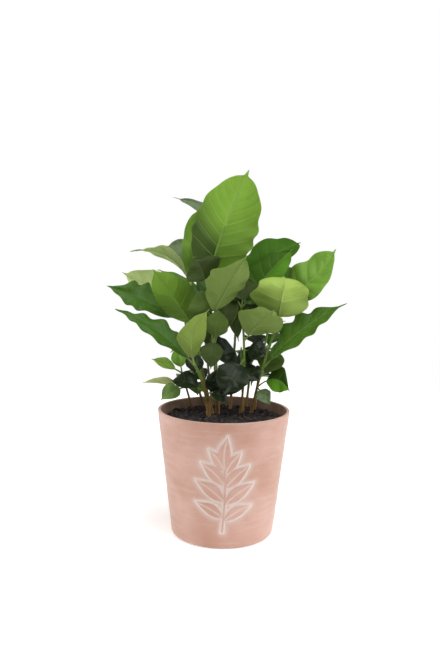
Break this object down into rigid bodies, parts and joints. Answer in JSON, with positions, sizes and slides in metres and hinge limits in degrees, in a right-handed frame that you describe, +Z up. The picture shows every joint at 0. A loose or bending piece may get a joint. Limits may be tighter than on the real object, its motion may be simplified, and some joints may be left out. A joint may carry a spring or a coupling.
{
  "type": "potted coffee plant",
  "caption": "Young coffee plant: upright seedlings with broad pointed glossy leaves in a tapered terracotta pot, a house plant that stands on a level surface.",
  "frame": {"origin": "centre of the pot's flat underside, on the surface it stands on", "axes": "+Z up along the pot's axis, +X to the right of the side that is seen in the picture, +Y to the back"},
  "size_m": [0.2372, 0.1714, 0.3543],
  "materials": {
    "pot": "matte",
    "soil": "matte",
    "stem": "matte",
    "foliage": "satin"
  },
  "bodies": {
    "root": {"pot": "pot", "soil": "soil", "stem_crown": "stem", "foliage_crown": "foliage", "stem_left_tall": "stem", "foliage_left_tall": "foliage", "stem_front_left": "stem", "foliage_front_left": "foliage", "stem_side_left": "stem", "foliage_side_left": "foliage", "stem_small_left": "stem", "foliage_small_left": "foliage", "stem_centre": "stem", "foliage_centre": "foliage", "stem_inner": "stem", "foliage_inner": "foliage", "stem_front_right": "stem", "foliage_front_right": "foliage", "stem_side_right": "stem", "foliage_side_right": "foliage", "stem_back_centre": "stem", "foliage_back_centre": "foliage", "stem_back_left": "stem", "foliage_back_left": "foliage", "stem_back_right": "stem", "foliage_back_right": "foliage"}
  },
  "joints": []
}
